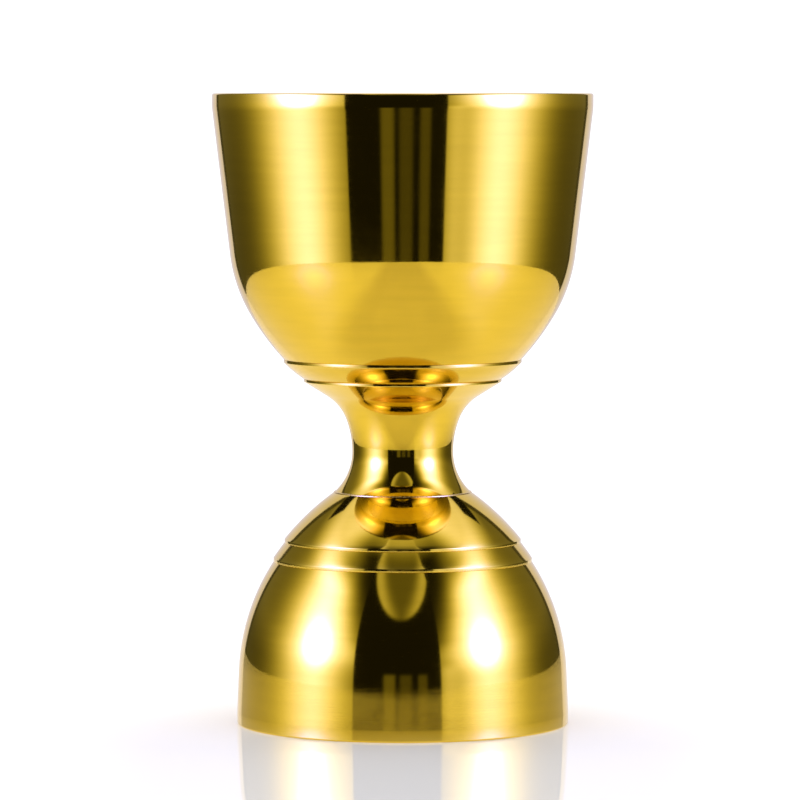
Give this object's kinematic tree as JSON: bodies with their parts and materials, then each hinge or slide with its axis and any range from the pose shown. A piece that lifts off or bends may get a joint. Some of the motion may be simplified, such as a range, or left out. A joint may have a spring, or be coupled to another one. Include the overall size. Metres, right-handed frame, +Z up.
{
  "type": "bar jigger",
  "caption": "Double-ended bell jigger: a large cup and a smaller bell cup back to back on a hollow waist, with stepped bands, in polished gold-coloured steel.",
  "frame": {"origin": "centre of the circle that the small cup's rim rests on", "axes": "+Z up the axis of both cups, from the small cup to the large cup; X and Y are any two directions across it"},
  "size_m": [0.053, 0.053, 0.0879],
  "materials": {
    "large_cup_gold": "stainless steel, polished, gold-coloured coating",
    "small_cup_gold": "stainless steel, polished, gold-coloured coating",
    "neck_gold": "stainless steel, polished, gold-coloured coating",
    "band_gold": "stainless steel, polished, gold-coloured coating",
    "braze": "brazing metal, ground and polished",
    "boss_steel": "turned steel, unpolished",
    "rod_steel": "rolled thread, zinc bright"
  },
  "bodies": {
    "root": {"large_cup": "large_cup_gold", "large_cup_band": "band_gold", "neck": "neck_gold", "neck_seam": "braze", "shoulder": "neck_gold", "small_cup_band": "band_gold", "small_cup": "small_cup_gold", "large_cup_boss": "boss_steel", "small_cup_boss": "boss_steel", "tie_rod": "rod_steel"}
  },
  "joints": []
}
